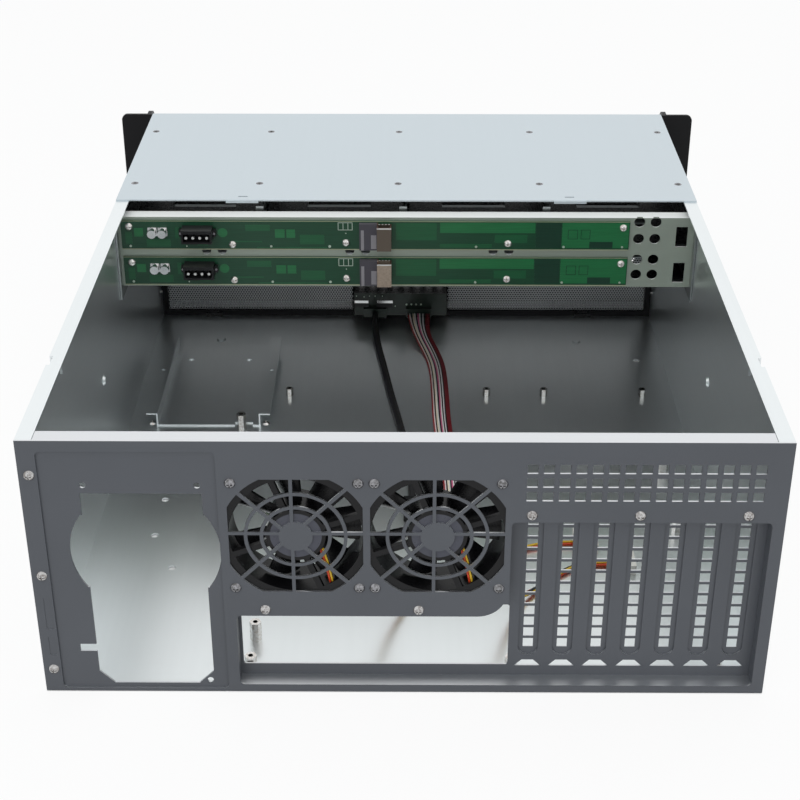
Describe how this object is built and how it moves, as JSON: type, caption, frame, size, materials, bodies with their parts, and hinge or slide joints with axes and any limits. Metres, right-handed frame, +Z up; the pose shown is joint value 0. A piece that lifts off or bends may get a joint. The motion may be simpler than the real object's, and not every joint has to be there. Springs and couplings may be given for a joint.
{
  "type": "rackmount server case",
  "caption": "Empty open-topped rackmount server case with rear cooling fans, expansion slots, a drive cage of front trays and rack ears with handles.",
  "frame": {"origin": "centre of the base, half-way between the rear screw heads and the front of the handles", "axes": "+Z up, -Y out of the rear panel, +Y out of the front, +X to the right seen from behind"},
  "size_m": [0.4826, 0.5772, 0.176],
  "materials": {
    "galvanised": "galvanised sheet, satin",
    "pale_sheet": "pale blue-grey satin",
    "slate_sheet": "dark slate satin",
    "black_metal": "black powder coat",
    "black_plastic": "black moulded",
    "board_green": "green solder mask",
    "black_socket": "black moulded",
    "can_metal": "satin",
    "screw_steel": "nickel plated",
    "mesh_steel": "black coated, perforated",
    "cable_black": "black jacket",
    "cable_ribbon": "red, white, cream, pink and grey wires",
    "cable_leads": "orange, red, yellow and black wires",
    "white_plastic": "white moulded"
  },
  "bodies": {
    "case": {"base_tub": "galvanised", "rear_panel": "slate_sheet", "psu_plate": "slate_sheet", "rear_recess": "slate_sheet", "slot_covers": "slate_sheet", "fan_frame_left": "black_plastic", "fan_frame_right": "black_plastic", "top_cover": "pale_sheet", "rack_ear_left": "black_metal", "rack_ear_right": "black_metal", "handle_left": "black_metal", "handle_right": "black_metal", "drive_cage": "galvanised", "backplane_holder": "galvanised", "backplane_lower": "board_green", "backplane_upper": "board_green", "power_sockets": "black_socket", "capacitors": "can_metal", "data_sockets": "can_metal", "drive_sockets": "black_socket", "front_bezel": "black_metal", "front_io_housing": "black_plastic", "front_io_board": "board_green", "mesh_frame": "black_metal", "intake_mesh": "mesh_steel", "mesh_clips": "black_plastic", "drive_bracket": "galvanised", "standoffs": "screw_steel", "fan_screws": "screw_steel", "panel_screws": "screw_steel", "small_screws": "screw_steel", "cover_screws": "screw_steel", "usb_cable": "cable_black", "panel_loom": "cable_ribbon", "fan_lead_left": "cable_leads", "fan_lead_right": "cable_leads", "usb_plug": "black_socket", "loom_plug": "black_socket", "fan_plug_left": "white_plastic", "fan_plug_right": "white_plastic"},
    "tray_1": {"tray_1": "black_plastic"},
    "lever_1": {"lever_1": "black_plastic"},
    "tray_2": {"tray_2": "black_plastic"},
    "lever_2": {"lever_2": "black_plastic"},
    "tray_3": {"tray_3": "black_plastic"},
    "lever_3": {"lever_3": "black_plastic"},
    "tray_4": {"tray_4": "black_plastic"},
    "lever_4": {"lever_4": "black_plastic"},
    "tray_5": {"tray_5": "black_plastic"},
    "lever_5": {"lever_5": "black_plastic"},
    "tray_6": {"tray_6": "black_plastic"},
    "lever_6": {"lever_6": "black_plastic"},
    "tray_7": {"tray_7": "black_plastic"},
    "lever_7": {"lever_7": "black_plastic"},
    "tray_8": {"tray_8": "black_plastic"},
    "lever_8": {"lever_8": "black_plastic"},
    "rotor_left": {"fan_rotor_left": "black_plastic"},
    "rotor_right": {"fan_rotor_right": "black_plastic"},
    "power_button": {"power_button": "black_plastic"},
    "reset_button": {"reset_button": "black_plastic"}
  },
  "joints": [
    {"name": "tray_1_slide", "type": "slide", "parent": "case", "child": "tray_1", "axis": [0, 1, 0], "range_m": [0, 0.15]},
    {"name": "lever_1_pivot", "type": "hinge", "parent": "tray_1", "child": "lever_1", "pos_m": [-0.20705, 0.2542, 0.1241], "axis": [0, 0, 1], "range_deg": [0, 75]},
    {"name": "tray_2_slide", "type": "slide", "parent": "case", "child": "tray_2", "axis": [0, 1, 0], "range_m": [0, 0.15]},
    {"name": "lever_2_pivot", "type": "hinge", "parent": "tray_2", "child": "lever_2", "pos_m": [-0.10055, 0.2542, 0.1241], "axis": [0, 0, 1], "range_deg": [0, 75]},
    {"name": "tray_3_slide", "type": "slide", "parent": "case", "child": "tray_3", "axis": [0, 1, 0], "range_m": [0, 0.15]},
    {"name": "lever_3_pivot", "type": "hinge", "parent": "tray_3", "child": "lever_3", "pos_m": [0.00595, 0.2542, 0.1241], "axis": [0, 0, 1], "range_deg": [0, 75]},
    {"name": "tray_4_slide", "type": "slide", "parent": "case", "child": "tray_4", "axis": [0, 1, 0], "range_m": [0, 0.15]},
    {"name": "lever_4_pivot", "type": "hinge", "parent": "tray_4", "child": "lever_4", "pos_m": [0.11245, 0.2542, 0.1241], "axis": [0, 0, 1], "range_deg": [0, 75]},
    {"name": "tray_5_slide", "type": "slide", "parent": "case", "child": "tray_5", "axis": [0, 1, 0], "range_m": [0, 0.15]},
    {"name": "lever_5_pivot", "type": "hinge", "parent": "tray_5", "child": "lever_5", "pos_m": [-0.20705, 0.2542, 0.1531], "axis": [0, 0, 1], "range_deg": [0, 75]},
    {"name": "tray_6_slide", "type": "slide", "parent": "case", "child": "tray_6", "axis": [0, 1, 0], "range_m": [0, 0.15]},
    {"name": "lever_6_pivot", "type": "hinge", "parent": "tray_6", "child": "lever_6", "pos_m": [-0.10055, 0.2542, 0.1531], "axis": [0, 0, 1], "range_deg": [0, 75]},
    {"name": "tray_7_slide", "type": "slide", "parent": "case", "child": "tray_7", "axis": [0, 1, 0], "range_m": [0, 0.15]},
    {"name": "lever_7_pivot", "type": "hinge", "parent": "tray_7", "child": "lever_7", "pos_m": [0.00595, 0.2542, 0.1531], "axis": [0, 0, 1], "range_deg": [0, 75]},
    {"name": "tray_8_slide", "type": "slide", "parent": "case", "child": "tray_8", "axis": [0, 1, 0], "range_m": [0, 0.15]},
    {"name": "lever_8_pivot", "type": "hinge", "parent": "tray_8", "child": "lever_8", "pos_m": [0.11245, 0.2542, 0.1531], "axis": [0, 0, 1], "range_deg": [0, 75]},
    {"name": "rotor_left_spin", "type": "hinge", "parent": "case", "child": "rotor_left", "pos_m": [-0.0617, -0.2744, 0.112], "axis": [0, 1, 0], "continuous": true},
    {"name": "rotor_right_spin", "type": "hinge", "parent": "case", "child": "rotor_right", "pos_m": [0.0189, -0.2744, 0.112], "axis": [0, 1, 0], "continuous": true},
    {"name": "power_button_press", "type": "slide", "parent": "case", "child": "power_button", "axis": [0, -1, 0], "range_m": [0, 0.002], "stiffness_N_per_m": 400, "springref_m": -0.002},
    {"name": "reset_button_press", "type": "slide", "parent": "case", "child": "reset_button", "axis": [0, -1, 0], "range_m": [0, 0.002], "stiffness_N_per_m": 400, "springref_m": -0.002}
  ]
}
